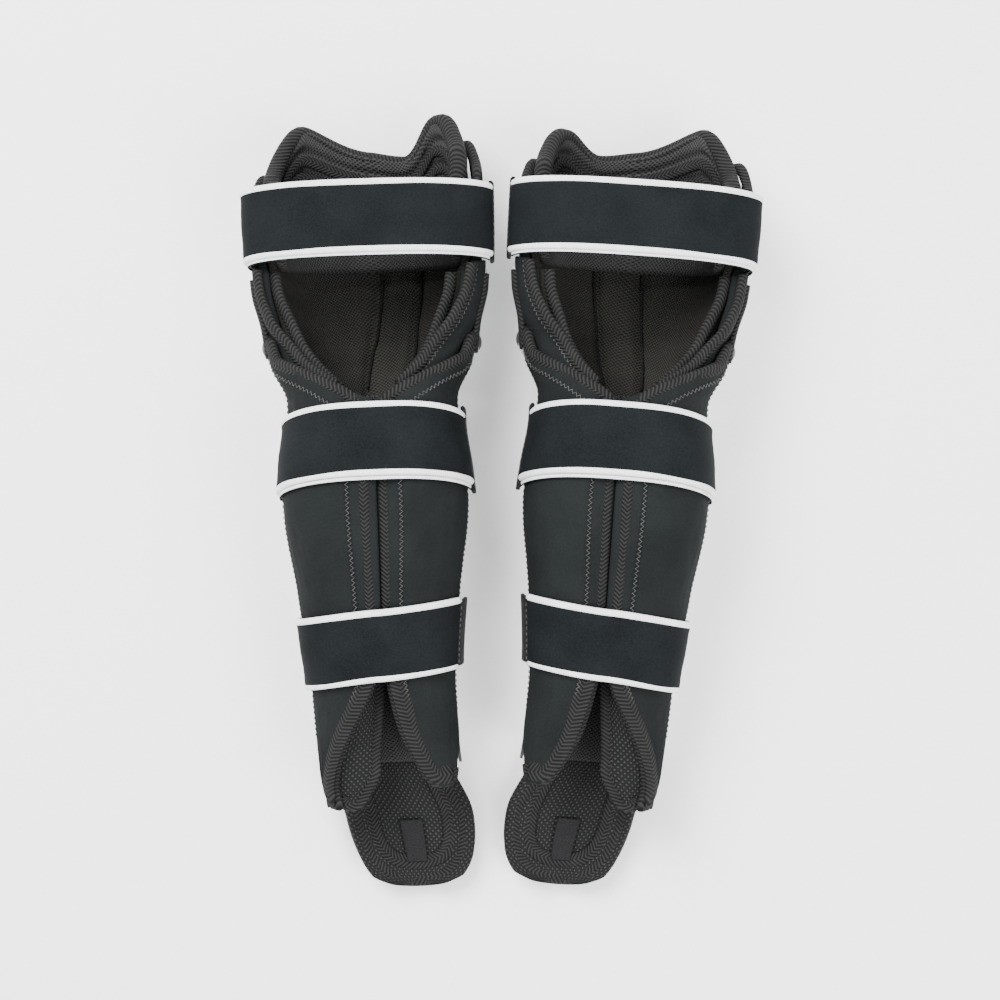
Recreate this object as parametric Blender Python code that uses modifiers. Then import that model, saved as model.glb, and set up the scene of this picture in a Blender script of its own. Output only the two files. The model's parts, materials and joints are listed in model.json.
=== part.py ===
"""A pair of ice hockey shin guards, lying face down with their straps closed.

Each guard is modelled in a frame of its own: X across the leg with the inner side of the
leg at +X, Y along the shin with the thigh end at +Y, and Z from the front of the shin up to
the back of the calf. The right guard is the left one mirrored. All lengths below are in
millimetres until a vertex is placed. Angles go round the leg in degrees: 0 at the front of
the shin, 90 at the inner side, 180 at the back of the calf and 270 at the outer side.
"""
import math

import bmesh
import bpy
from mathutils import Matrix, Vector

MM = 0.001

# Where each guard lies: middle of the guard (mm), lean of its thigh end away from the other
# guard (degrees), side (+1 left, -1 right), and the height of its inner thigh lobe (mm).
LEFT = {"name": "left", "place": (-80.1, 2.7), "lean": 1.7, "side": 1, "inner_lobe": 247.0,
        "shoulders": (230.0, 211.0)}
RIGHT = {"name": "right", "place": (72.7, 2.7), "lean": 3.9, "side": -1, "inner_lobe": 236.0,
         "shoulders": (216.0, 222.0)}

# The skin of a guard along its length, as (y, value) pairs.
HALF_WIDTH = ((-180, 49.5), (-120, 47.8), (-60, 53), (0, 60.5), (20, 59), (50, 55.5), (64, 55.5),
              (88, 66), (112, 69.5), (135, 75), (165, 77), (200, 77.5), (247, 72))
FRONT = ((-180, -1.2), (-70, -1.2), (-30, 1.5), (20, 5), (66, 5), (90, -1.2), (138, -1.2),
         (165, 6), (205, 11), (247, 18))
WIDEST = ((-180, 40), (-60, 49), (0, 56), (40, 58), (165, 60), (247, 66))
BACK = ((-180, 68), (-120, 79), (-60, 91), (0, 105), (30, 108), (66, 106), (100, 98), (160, 92))
BEND = ((-247, 18), (-208, 13.6), (-180, 5), (-157, 3), (-120, 1.2), (-60, 0))
ROUNDNESS = 2.6          # power of the superellipse that a section follows

SHELL_WALL = 2.6
WING_WALL = 1.8
WRAP_WALL = 7.0
STRAP_WIDTH = 45.0
STRAP_WALL = 2.5
STRAP_LIFT = 0.8         # gap between a strap and the surface under it
BUTT_GAP = 1.6           # degrees between the two pieces of one strap

WRAP_START = 97          # angle where a calf wrap leaves the shell's edge
WRAP_EDGE = 178.5        # angle of its free edge, next to the other wrap
KNEE_PIVOT = (100.0, 58.0)
THIGH_PIVOT = (161.0, 60.0)
TONGUE_PIVOT = (-181.0, 12.0)
WING_RIVET = (-10.0, 57.0)

# Strap: middle (y), rise of the inner end over the outer one, drop of both ends below the
# crown, angle of the seam between elastic and hook tab, and height of the hook tab.
STRAPS = {
    "top": {"y": 179.0, "rise": 0.0, "drop": 3.0, "seam": 97.0, "tab": 50.0},
    "mid": {"y": 39.0, "rise": 2.0, "drop": 10.0, "seam": 98.0, "tab": 54.0},
    "low": {"y": -91.0, "rise": 12.0, "drop": 0.0, "seam": 112.0, "tab": 43.0},
}
STRAP_HINGE = 269.0      # angle where a strap's moving length starts, on the outer side
ANCHOR_END = 289.0
HOOK_END = 84.0

FINISHES = {
    "white_plastic": ((0.82, 0.83, 0.84), 0.35, 0.0),
    "black_plastic": ((0.02, 0.021, 0.023), 0.45, 0.0),
    "foam": ((0.06, 0.06, 0.065), 0.9, 0.0),
    "mesh_lining": ((0.022, 0.021, 0.019), 0.85, 0.0),
    "wrap_fabric": ((0.035, 0.038, 0.04), 0.8, 0.0),
    "elastic": ((0.015, 0.018, 0.021), 0.85, 0.0),
    "hook_tab": ((0.012, 0.012, 0.013), 0.8, 0.0),
    "rivet": ((0.6, 0.6, 0.6), 0.35, 1.0),
}


def clear_scene():
    for thing in list(bpy.context.scene.objects):
        bpy.data.objects.remove(thing, do_unlink=True)


def new_collection(name):
    collection = bpy.data.collections.new(name)
    bpy.context.scene.collection.children.link(collection)
    return collection


def material(name):
    """The Principled material of that finish, made once."""
    if name in bpy.data.materials:
        return bpy.data.materials[name]
    colour, roughness, metallic = FINISHES[name]
    made = bpy.data.materials.new(name)
    made.use_nodes = True
    shader = made.node_tree.nodes["Principled BSDF"]
    shader.inputs["Base Color"].default_value = (*colour, 1)
    shader.inputs["Roughness"].default_value = roughness
    shader.inputs["Metallic"].default_value = metallic
    return made


def along(table, y):
    """Value at y on a smooth curve through the (y, value) pairs, with no overshoot."""
    if y <= table[0][0]:
        return table[0][1]
    if y >= table[-1][0]:
        return table[-1][1]
    last = len(table) - 1
    k = next(i for i in range(last) if y <= table[i + 1][0])

    def rise(i):
        return (table[i + 1][1] - table[i][1]) / (table[i + 1][0] - table[i][0])

    def slope(i):
        if i in (0, last) or rise(i - 1) * rise(i) <= 0:
            return 0.0
        return 2 * rise(i - 1) * rise(i) / (rise(i - 1) + rise(i))

    span = table[k + 1][0] - table[k][0]
    t = (y - table[k][0]) / span
    ease = t * t * (3 - 2 * t)
    bow = t * (1 - t) * span * ((1 - t) * slope(k) - t * slope(k + 1))
    return table[k][1] * (1 - ease) + table[k + 1][1] * ease + bow


def ease_between(low, high, value):
    """0 below low, 1 above high, and smooth between."""
    t = min(max((value - low) / (high - low), 0.0), 1.0)
    return t * t * (3 - 2 * t)


def skin(angle, y, depth):
    """Point at that angle and height, at a depth under the guard's outer skin."""
    sine = math.sin(math.radians(angle))
    cosine = math.cos(math.radians(angle))
    widest = along(WIDEST, y)
    towards = along(FRONT, y) if cosine >= 0 else along(BACK, y)
    reach = abs(widest - towards) - depth
    power = 2 / ROUNDNESS
    x = (along(HALF_WIDTH, y) - depth) * math.copysign(abs(sine) ** power, sine)
    z = widest - reach * math.copysign(abs(cosine) ** power, cosine)
    return Vector((along(BEND, y) + x, y, max(z, 0.0)))


class Guard:
    """Builds one guard's pieces under an empty that leans and moves it into place."""

    def __init__(self, layout, parts, cutters):
        self.layout = layout
        self.side = layout["side"]
        self.parts = parts
        self.cutters = cutters
        x, y = layout["place"]
        self.frame = self.empty("frame", None, (0, 0, 0))
        self.frame.location = (x * MM, y * MM, 0)
        self.frame.rotation_euler = (0, 0, math.radians(layout["lean"]) * self.side)

    def empty(self, name, parent, pivot):
        """An empty on a joint's axis, which carries the pieces of one moving body."""
        made = bpy.data.objects.new(f"{self.layout['name']}_{name}_axis", None)
        self.parts.objects.link(made)
        made["pivot"] = [pivot[0] * self.side * MM, pivot[1] * MM, pivot[2] * MM]
        made.location = Vector(made["pivot"])
        if parent is not None:
            made.parent = parent
            made.location -= Vector(parent["pivot"])
        return made

    def add(self, name, bm, finish, carrier):
        """Turns a mesh built for the left guard, in millimetres, into this guard's object."""
        for vert in bm.verts:
            vert.co = Vector((vert.co.x * self.side, vert.co.y, vert.co.z)) * MM
        if self.side < 0:
            bmesh.ops.reverse_faces(bm, faces=bm.faces)
        mesh = bpy.data.meshes.new(name)
        bm.to_mesh(mesh)
        bm.free()
        made = bpy.data.objects.new(f"{self.layout['name']}_{name}", mesh)
        mesh.materials.append(material(finish))
        mesh.shade_smooth()
        self.parts.objects.link(made)
        made.parent = carrier
        made.location = -Vector(carrier["pivot"])
        return made

    def sheet(self, name, size, place, wall, finish, carrier):
        """A wall of the given thickness, grown towards the leg from a bent grid.

        size is (columns round the leg, rows along it), and place(across, up) is the point
        of the outer face for 0 to 1 each way.
        """
        bm = bmesh.new()
        bmesh.ops.create_grid(bm, x_segments=size[0], y_segments=size[1], size=1)
        for vert in bm.verts:
            vert.co = place((vert.co.x + 1) / 2, (vert.co.y + 1) / 2)
        made = self.add(name, bm, finish, carrier)
        thicken = made.modifiers.new("wall", "SOLIDIFY")
        thicken.thickness = wall * MM
        thicken.offset = 1
        return made

    def panel(self, name, size, angles, low, high, depth, wall, finish, carrier):
        """A sheet that follows the skin between two angles, from y = low(angle) to high(angle)."""

        def place(across, up):
            angle = angles[0] + (angles[1] - angles[0]) * across
            y = low(angle) + (high(angle) - low(angle)) * up
            return skin(angle, y, depth(y))

        return self.sheet(name, size, place, wall, finish, carrier)

    def rivet(self, name, at, outward, length, carrier):
        """A domed rivet through the walls at a point of the skin, with a washer inside."""
        shank, head, washer = 2.0, 5.2, 4.0
        outline = (
            (0, 2.6), (2.6, 2.3), (head, 0.9), (head, 0.5), (shank, 0.5),
            (shank, -length), (washer, -length), (washer, -length - 1), (0, -length - 1),
        )
        bm = bmesh.new()
        verts = [bm.verts.new((radius, 0, height)) for radius, height in outline]
        for start, end in zip(verts, verts[1:]):
            bm.edges.new((start, end))
        turn = Vector((0, 0, 1)).rotation_difference(outward).to_matrix().to_4x4()
        bmesh.ops.spin(bm, geom=bm.verts[:] + bm.edges[:], axis=(0, 0, 1), cent=(0, 0, 0),
                       angle=math.tau, steps=10, use_duplicate=False)
        bmesh.ops.remove_doubles(bm, verts=bm.verts, dist=0.01)
        bmesh.ops.recalc_face_normals(bm, faces=bm.faces)
        bm.transform(Matrix.Translation(at) @ turn)
        return self.add(name, bm, "rivet", carrier)

    def drill(self, name, at, outward, walls):
        """Cuts a rivet's hole through the walls."""
        bm = bmesh.new()
        bmesh.ops.create_cone(bm, cap_ends=True, segments=12, radius1=2.5, radius2=2.5, depth=40)
        turn = Vector((0, 0, 1)).rotation_difference(outward).to_matrix().to_4x4()
        bm.transform(Matrix.Translation(at) @ turn)
        cutter = self.add(f"{name}_cutter", bm, "rivet", self.frame)
        self.parts.objects.unlink(cutter)
        self.cutters.objects.link(cutter)
        cutter.hide_render = True
        cutter.display_type = "WIRE"
        for wall in walls:
            cut = wall.modifiers.new(name, "BOOLEAN")
            cut.operation = "DIFFERENCE"
            cut.solver = "EXACT"
            cut.object = cutter

    def build(self):
        self.frame["pivot"] = [0.0, 0.0, 0.0]
        knee = self.empty("knee", self.frame, (0, *KNEE_PIVOT))
        thigh = self.empty("thigh", knee, (0, *THIGH_PIVOT))
        wings = self.shin()
        self.knee(knee, wings)
        self.thigh(thigh)
        self.tongue()
        self.wraps()
        for name, carrier in (("top", thigh), ("mid", self.frame), ("low", self.frame)):
            self.strap(name, carrier)

    def shin(self):
        """Front shell, its two side wings, the foam behind it and the lining."""
        shell = self.panel(
            "shin_shell", (10, 9), (-64, 64),
            lambda angle: -178 + 16 * ease_between(20, 66, abs(angle)),
            lambda angle: 66 + 10 * ease_between(20, 66, abs(angle)),
            lambda y: 0, SHELL_WALL, "white_plastic", self.frame)
        wings = {}
        for name, sign in (("wing_inner", 1), ("wing_outer", -1)):
            wings[name] = self.panel(
                name, (5, 12), (47, 94) if sign > 0 else (-94, -47),
                lambda angle: -150 - 20 * ease_between(50, 80, abs(angle)),
                lambda angle: 60 + 50 * ease_between(56, 80, abs(angle)),
                lambda y: 3.8 + 2.9 * ease_between(30, 72, y), WING_WALL, "black_plastic", self.frame)
            y, angle = WING_RIVET
            at = skin(sign * angle, y, 0)
            outward = (at - skin(sign * angle, y, 5)).normalized()
            self.drill(f"{name}_hole", at, outward, (shell, wings[name]))
            self.rivet(f"{name}_rivet", at, outward, 7.0, self.frame)
        self.panel("shin_foam", (10, 7), (-82, 82),
                   lambda angle: -166 + 10 * ease_between(30, 82, abs(angle)),
                   lambda angle: 62 - 16 * ease_between(40, 82, abs(angle)),
                   lambda y: 9.0, 4.4, "foam", self.frame)
        self.panel("shin_lining", (10, 8), (-88, 88),
                   lambda angle: -172 + 6 * ease_between(30, 88, abs(angle)),
                   lambda angle: 66 + 26 * ease_between(30, 88, abs(angle)),
                   lambda y: 15.6, 3.4, "mesh_lining", self.frame)
        return wings

    def knee(self, carrier, wings):
        """Knee cap, its foam and its lined cup, on two side pivots in the wings' ears."""

        def bottom(angle, start, lug):
            side = abs(angle)
            return start + (lug - start) * ease_between(30, 86, side) + (130 - lug) * ease_between(88, 122, side)

        def top(angle):
            return 158 - 14 * ease_between(88, 118, abs(angle))

        cap = self.panel("knee_cap", (13, 6), (-96, 96), lambda angle: bottom(angle, 70, 92),
                         lambda angle: 158 - 16 * ease_between(66, 94, abs(angle)),
                         lambda y: 0, SHELL_WALL, "white_plastic", carrier)
        for name, sign in (("knee_pivot_inner", 1), ("knee_pivot_outer", -1)):
            at = Vector((sign * along(HALF_WIDTH, KNEE_PIVOT[0]), *KNEE_PIVOT))
            outward = Vector((sign, 0, 0))
            wing = wings["wing_inner" if sign > 0 else "wing_outer"]
            self.drill(f"{name}_hole", at, outward, (cap, wing))
            self.rivet(name, at, outward, 9.6, carrier)
        self.panel("knee_foam", (13, 5), (-108, 122), lambda angle: bottom(angle, 74, 120), top,
                   lambda y: 4.2, 6.4, "foam", carrier)
        self.panel("knee_cup", (13, 5), (-112, 130), lambda angle: bottom(angle, 72, 119), top,
                   lambda y: 11.6, 4.4, "mesh_lining", carrier)

    def thigh(self, carrier):
        """Thigh cap, two pads and the stiff plate between them."""

        def bottom(angle):
            return 163.5 + 16 * ease_between(86, 116, abs(angle))

        def pad_top(angle):
            """Two lobes with a dip between them, nearer the inner side."""
            lobe = self.layout["inner_lobe"] if angle > 18 else 243.0
            reach = 34 if angle > 18 else 68
            dip = 222 + (lobe - 222) * ease_between(0, reach, abs(angle - 18))
            return dip - 32 * ease_between(70, 114, abs(angle))

        def outer_top(angle, middle, rise, fall, start, end):
            """Level middle, a shoulder on each side and a fall to the edges."""
            side = abs(angle)
            shoulder = self.layout["shoulders"][0 if angle > 0 else 1] + rise
            return middle + (shoulder - middle) * ease_between(20, 58, side) - fall * ease_between(start, end, side)

        def cap_top(angle):
            return 206 + 8 * ease_between(30, 60, -angle) - 14 * ease_between(60, 92, abs(angle))

        layers = (
            ("thigh_cap", (12, 3), 92, cap_top, 0, 2.4,
             "white_plastic"),
            ("thigh_outer_pad", (12, 4), 100, lambda angle: outer_top(angle, 208, 0, 24, 70, 100),
             3.4, 6.0, "wrap_fabric"),
            ("thigh_plate", (10, 4), 92, lambda angle: outer_top(angle, 207, 3, 18, 64, 92),
             10.7, 1.6, "white_plastic"),
            ("thigh_inner_pad", (14, 5), 112, pad_top, 13.6, 6.4, "mesh_lining"),
        )
        for name, size, reach, top, depth, wall, finish in layers:
            self.panel(name, size, (-reach, reach), bottom, top, lambda y, d=depth: d, wall, finish, carrier)

    def tongue(self):
        """The ankle flap that goes over the skate, with a sewn tab on its leg side."""
        carrier = self.empty("tongue", self.frame, (0, *TONGUE_PIVOT))
        half_width = ((-254, 21), (-247, 30.5), (-230, 38.5), (-208, 41.5), (-181, 38))

        def place(across, up):
            y = -254 + 73 * up
            wide = 2 * across - 1
            return Vector((along(BEND, y) + wide * along(half_width, y), y, 4 + 4 * up + 5 * wide * wide))

        self.sheet("tongue", (8, 6), place, 8.5, "mesh_lining", carrier)

        def on_flap(across, up):
            y = -235 + 24 * up
            wide = 0.36 * (across - 0.5)
            return Vector((along(BEND, y) + 41 * wide, y, place(0.5, (y + 254) / 73).z + 9.1))

        self.sheet("tongue_tab", (1, 1), on_flap, 1.2, "hook_tab", carrier)

    def wraps(self):
        """The two padded calf wraps, which meet along the back of the calf."""
        for name, sign in (("wrap_inner", 1), ("wrap_outer", -1)):
            (x, y, z), _ = wrap_hinge(sign)
            carrier = self.empty(name, self.frame, (x, y, z))
            lowest = -176 if sign > 0 else -190
            opening = 9 if sign > 0 else 52
            rise = 24 if sign > 0 else 20

            def place(across, up, sign=sign, lowest=lowest, opening=opening, rise=rise):
                near_edge = across if sign > 0 else 1 - across
                top = 95 - 31 * near_edge ** 1.6
                low = lowest + 14 - 22 * ease_between(0, 0.34, near_edge) + rise * ease_between(0.6, 1, near_edge)
                y = low + (top - low) * up
                edge = WRAP_EDGE - opening * ease_between(-100, lowest, y) if y < -100 else WRAP_EDGE
                angle = WRAP_START + (edge - WRAP_START) * near_edge
                return skin(sign * angle, y, 0.5)

            self.sheet(name, (7, 13), place, WRAP_WALL, "wrap_fabric", carrier)

    def strap(self, name, carrier):
        """An elastic strap over the leg: a fixed anchor, the moving band and its hook tab."""
        strap = STRAPS[name]
        start, _ = strap_hinge(name)
        swing = self.empty(f"{name}_strap", carrier, start)

        def band(angles, width):
            def place(across, up):
                angle = angles[0] + (angles[1] - angles[0]) * across
                y = strap_line(name, angle) + width * (up - 0.5)
                return skin(angle, y, -STRAP_LIFT - STRAP_WALL)
            return place

        self.sheet(f"{name}_strap", (12, 3), band((strap["seam"], STRAP_HINGE), STRAP_WIDTH),
                   STRAP_WALL, "elastic", swing)
        self.sheet(f"{name}_hook_tab", (4, 3), band((HOOK_END, strap["seam"] - BUTT_GAP), strap["tab"]),
                   STRAP_WALL, "hook_tab", swing)
        self.sheet(f"{name}_anchor", (3, 3), band((STRAP_HINGE + 2 * BUTT_GAP, ANCHOR_END), STRAP_WIDTH),
                   STRAP_WALL, "elastic", carrier)


def strap_line(name, angle):
    """Height of a strap's middle at that angle."""
    strap = STRAPS[name]
    crown = max(0.0, -math.cos(math.radians(angle)))
    return strap["y"] + strap["rise"] / 2 * math.sin(math.radians(angle)) - strap["drop"] * (1 - crown)


def strap_hinge(name):
    """Point and direction of a strap's hinge line, along the outer side."""
    middle = strap_line(name, STRAP_HINGE)
    ends = [skin(STRAP_HINGE + BUTT_GAP, middle + step, -STRAP_LIFT - STRAP_WALL) for step in (-20, 20)]
    outermost = min(end.x for end in ends)
    start = (ends[0] + ends[1]) / 2
    return Vector((min(start.x, outermost + 1.0), start.y, start.z)), (ends[1] - ends[0]).normalized()


def wrap_hinge(sign):
    """Point and direction of a wrap's hinge line, just outside the shell's edge."""
    low = Vector((54.0 if sign > 0 else -49.5, -160, 41.5))
    high = Vector((66.5 * sign, 97, 60))
    return (low + high) / 2, (high - low).normalized()


def main():
    clear_scene()
    parts = new_collection("hockey_shin_guards")
    cutters = new_collection("cutters")
    for layout in (LEFT, RIGHT):
        Guard(layout, parts, cutters).build()


main()
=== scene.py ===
"""Looks for the pair of ice hockey shin guards: padding, linings, bindings, straps and finishes.

Every piece is shaped in a guard's own frame, in millimetres: X across the leg with the inner
side at +X, Y along the shin with the thigh at +Y, Z from the shell up to the straps. Angles
go round the leg in degrees: 0 at the front of the shin, 90 inner side, 180 calf, 270 outer
side. The right guard is the left one mirrored.
"""
import json
import math

import bmesh
import bpy
import numpy as np
from mathutils import Matrix, Vector, noise


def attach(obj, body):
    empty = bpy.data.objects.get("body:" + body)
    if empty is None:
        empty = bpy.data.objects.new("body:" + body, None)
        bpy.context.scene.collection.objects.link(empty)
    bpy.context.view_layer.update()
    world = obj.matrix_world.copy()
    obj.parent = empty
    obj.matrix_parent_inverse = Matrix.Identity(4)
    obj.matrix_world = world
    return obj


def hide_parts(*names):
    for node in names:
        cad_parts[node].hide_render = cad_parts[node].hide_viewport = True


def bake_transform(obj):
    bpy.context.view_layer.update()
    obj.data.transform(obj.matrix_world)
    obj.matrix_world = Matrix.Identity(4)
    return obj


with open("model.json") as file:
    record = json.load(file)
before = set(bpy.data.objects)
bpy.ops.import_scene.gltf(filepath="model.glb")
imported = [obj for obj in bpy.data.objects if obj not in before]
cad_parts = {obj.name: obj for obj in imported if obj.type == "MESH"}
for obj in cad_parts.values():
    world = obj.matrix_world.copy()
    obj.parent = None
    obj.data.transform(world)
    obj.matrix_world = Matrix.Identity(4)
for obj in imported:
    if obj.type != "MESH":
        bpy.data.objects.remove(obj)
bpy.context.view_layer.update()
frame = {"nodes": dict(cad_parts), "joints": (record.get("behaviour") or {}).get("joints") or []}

MM = 0.001
KNEE_PIVOT = (0.0, 100.0, 58.0)      # origin of the knee joint in the guard

# The camera looks straight down. VIEW_WIDTH metres fill the picture's width at VIEW_HEIGHT.
PICTURE_CENTRE = (-0.001, 0.0035)
CAMERA_DISTANCE = 1.5
VIEW_WIDTH = 0.64
VIEW_HEIGHT = 0.06
SENSOR_WIDTH = 36
LAMP_AIM = (0, 0, 0.05)

# The skin of a guard along its length, as (y, value) pairs.
HALF_WIDTH = ((-180, 49.5), (-120, 47.8), (-60, 53), (0, 60.5), (20, 59), (50, 55.5), (64, 55.5),
              (88, 66), (112, 69.5), (135, 75), (165, 77), (200, 77.5), (247, 72))
FRONT = ((-180, -1.2), (-70, -1.2), (-30, 1.5), (20, 5), (66, 5), (90, -1.2), (138, -1.2),
         (165, 6), (205, 11), (247, 18))
WIDEST = ((-180, 40), (-60, 49), (0, 56), (40, 58), (165, 60), (247, 66))
BACK = ((-180, 68), (-120, 79), (-60, 91), (0, 105), (30, 108), (66, 106), (100, 98), (160, 92))
BEND = ((-247, 18), (-208, 13.6), (-180, 5), (-157, 3), (-120, 1.2), (-60, 0))
ROUNDNESS = 2.6

# Each strap in mm and degrees: y of its middle at the calf, rise from the outer to the inner
# side, drop at both sides, angle of the seam to its hook tab, width of that tab, and how far
# its doubled layer hangs below it (0 for none).
STRAPS = {
    "top": {"y": 179.0, "rise": 0.0, "drop": 3.0, "seam": 97.0, "tab": 50.0, "under": 2.8},
    "mid": {"y": 39.0, "rise": 2.0, "drop": 10.0, "seam": 98.0, "tab": 54.0, "under": 3.6},
    "low": {"y": -91.0, "rise": 12.0, "drop": 0.0, "seam": 112.0, "tab": 43.0, "under": 0.0},
}
STRAP_WIDTH = 45.0
ANCHOR_END = 289.0       # angle of the anchored end
HOOK_END = 84.0          # angle of the hook tabs' free end
STRAP_OUT = 3.3          # how far a strap's outer face stands off the skin
STRAP_WALL = 2.3

# Fold settings of the soft pieces: the two bodies, and the heights at which a fold starts and ends. bend()
# unpacks them but only bakes each piece in place.
CUP_FOLD = ("shin", "knee", 78, 128)
FOAM_FOLD = ("shin", "knee", 84, 128)
SIDE_FOLD = ("shin", "knee", 88, 122)
THIGH_FOLD = ("knee", "thigh", 150, 174)
ANKLE_FOLD = ("tongue", "shin", -190, -172)
FOLD_DEPTH = 50          # height above the floor of the points bend() works out at a fold's two heights

TAPE_STEP = 2.2          # mm between the rings of a swept tape
THREAD_PITCH = 3.2       # mm for one zigzag
THREAD_SWING = 1.1
STITCH_LENGTH = 2.2
STITCH_GAP = 1.3


# ---------------------------------------------------------------- shape of a guard

def slopes(table):
    """Slopes of a smooth curve through the table's points, with no overshoot."""
    rise = [(b[1] - a[1]) / (b[0] - a[0]) for a, b in zip(table, table[1:])]
    inner = [0.0 if p * q <= 0 else 2 * p * q / (p + q) for p, q in zip(rise, rise[1:])]
    return [0.0, *inner, 0.0]


def along(table, y):
    """Values of the table at the heights y, an array or a number."""
    knots = np.array([row[0] for row in table], float)
    values = np.array([row[1] for row in table], float)
    slope = np.array(slopes(table))
    y = np.clip(np.asarray(y, float), knots[0], knots[-1])
    k = np.clip(np.searchsorted(knots, y, side="right") - 1, 0, len(knots) - 2)
    span = knots[k + 1] - knots[k]
    t = (y - knots[k]) / span
    share = t * t * (3 - 2 * t)
    bow = t * (1 - t) * span * ((1 - t) * slope[k] - t * slope[k + 1])
    return values[k] * (1 - share) + values[k + 1] * share + bow


def ease(low, high, value):
    """0 below low, 1 above high, smooth between."""
    t = np.clip((np.asarray(value, float) - low) / (high - low), 0, 1)
    return t * t * (3 - 2 * t)


def spread(*values):
    """The values as float arrays of one shape."""
    return np.broadcast_arrays(*(np.asarray(value, float) for value in values))


def skin(angle, y, depth):
    """Points at those angles and heights, at a depth under the guard's outer skin."""
    angle, y, depth = spread(angle, y, depth)
    sine = np.sin(np.radians(angle))
    cosine = np.cos(np.radians(angle))
    widest = along(WIDEST, y)
    towards = np.where(cosine >= 0, along(FRONT, y), along(BACK, y))
    reach = np.abs(widest - towards) - depth
    power = 2 / ROUNDNESS
    x = (along(HALF_WIDTH, y) - depth) * np.sign(sine) * np.abs(sine) ** power
    z = widest - reach * np.sign(cosine) * np.abs(cosine) ** power
    return np.stack([along(BEND, y) + x, y, np.maximum(z, 0.0)], axis=-1)


class Guard:
    """One guard's name, mirror side and place, read from its knee joint in the frame."""

    def __init__(self, name, side):
        self.name = name
        self.side = side
        joint = next(j for j in frame["joints"] if j["name"] == f"{name}_knee_flex")
        x_axis = Vector(joint["axis"])
        self.turn = Matrix.Rotation(math.atan2(x_axis.y, x_axis.x), 3, "Z")
        self.origin = Vector(joint["pos_m"]) - self.turn @ (Vector(KNEE_PIVOT) * MM)

    def world(self, point):
        """A point of the guard, in mm, as a place in the frame, in metres."""
        local = Vector((float(point[0]) * self.side, float(point[1]), float(point[2]))) * MM
        return self.turn @ local + self.origin

    def body(self, name):
        """Name of the guard's body in the frame."""
        return f"{self.name}_{name}"


GUARDS = (Guard("left", 1), Guard("right", -1))


# ---------------------------------------------------------------- materials

class Graph:
    """A node material built around one Principled shader."""

    def __init__(self, name, roughness, metallic=0.0, specular=0.5):
        self.material = bpy.data.materials.new(name)
        self.material.use_nodes = True
        self.nodes = self.material.node_tree.nodes
        self.links = self.material.node_tree.links
        self.shader = self.nodes["Principled BSDF"]
        self.shader.inputs["Roughness"].default_value = roughness
        self.shader.inputs["Metallic"].default_value = metallic
        self.shader.inputs["Specular IOR Level"].default_value = specular

    def node(self, kind, inputs=(), **settings):
        """A node with its settings; an input is a value or another node's output."""
        made = self.nodes.new(kind)
        for key, value in settings.items():
            setattr(made, key, value)
        for socket, value in dict(inputs).items():
            if isinstance(value, bpy.types.NodeSocket):
                self.links.new(value, made.inputs[socket])
            else:
                made.inputs[socket].default_value = value
        return made

    def math(self, operation, first, second=0.0, third=0.5):
        """A math node; third only counts for MULTIPLY_ADD."""
        inputs = {0: first, 1: second, 2: third}
        return self.node("ShaderNodeMath", inputs, operation=operation).outputs[0]

    def mix(self, first, first_share, second, second_share):
        """Sum of two values, each times its share."""
        return self.math("ADD", self.math("MULTIPLY", first, first_share),
                         self.math("MULTIPLY", second, second_share))

    def wave(self, value, length):
        """A sine along a value in metres, one period each length."""
        return self.math("SINE", self.math("MULTIPLY", value, math.tau / length))

    def uv(self):
        """The two UV coordinates, in metres along the piece."""
        split = self.node("ShaderNodeSeparateXYZ", {0: self.node("ShaderNodeTexCoord").outputs["UV"]})
        return split.outputs["X"], split.outputs["Y"]

    def noise(self, scale, detail):
        """Cloudy noise in the object's own space."""
        place = self.node("ShaderNodeTexCoord").outputs["Object"]
        inputs = {"Vector": place, "Scale": scale, "Detail": detail}
        return self.node("ShaderNodeTexNoise", inputs).outputs["Fac"]

    def ramp(self, factor, dark, light, low=0.3, high=0.7):
        """A colour that goes from dark to light while factor goes from low to high."""
        made = self.node("ShaderNodeValToRGB", {"Fac": factor})
        made.color_ramp.elements[0].position = low
        made.color_ramp.elements[0].color = (*dark, 1)
        made.color_ramp.elements[1].position = high
        made.color_ramp.elements[1].color = (*light, 1)
        return made.outputs["Color"]

    def finish(self, colour, height, distance, strength, roughness=None):
        """Wires the colour, a bump of the height (distance in metres) and the roughness."""
        self.links.new(colour, self.shader.inputs["Base Color"])
        if roughness is not None:
            self.links.new(roughness, self.shader.inputs["Roughness"])
        bump = self.node("ShaderNodeBump", {"Strength": strength, "Distance": distance, "Height": height})
        self.links.new(bump.outputs["Normal"], self.shader.inputs["Normal"])
        return self.material


def elastic_weave():
    """Black woven elastic: fine ribs across the strap, with lint and a slow change of tone."""
    g = Graph("elastic_weave", 0.85, specular=0.08)
    u, v = g.uv()
    ribs = g.wave(v, 0.0013)
    picks = g.wave(u, 0.0017)
    weave = g.math("MULTIPLY_ADD", g.math("MULTIPLY", ribs, picks), 0.25)
    lint = g.noise(900, 2)
    tone = g.mix(lint, 0.55, g.noise(38, 4), 0.45)
    height = g.math("ADD", weave, g.math("MULTIPLY", lint, 0.6))
    return g.finish(g.ramp(tone, (0.0026, 0.0034, 0.0038), (0.0078, 0.0098, 0.0108)), height, 0.0003, 0.5)


def white_edge():
    """The strap's white selvedge: small ribs, slightly soiled."""
    g = Graph("white_edge", 0.7, specular=0.3)
    u, _ = g.uv()
    ribs = g.wave(u, 0.0016)
    tone = g.mix(g.noise(160, 3), 0.8, ribs, 0.06)
    return g.finish(g.ramp(tone, (0.72, 0.73, 0.74), (0.9, 0.91, 0.92)), ribs, 0.0003, 0.5)


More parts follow.
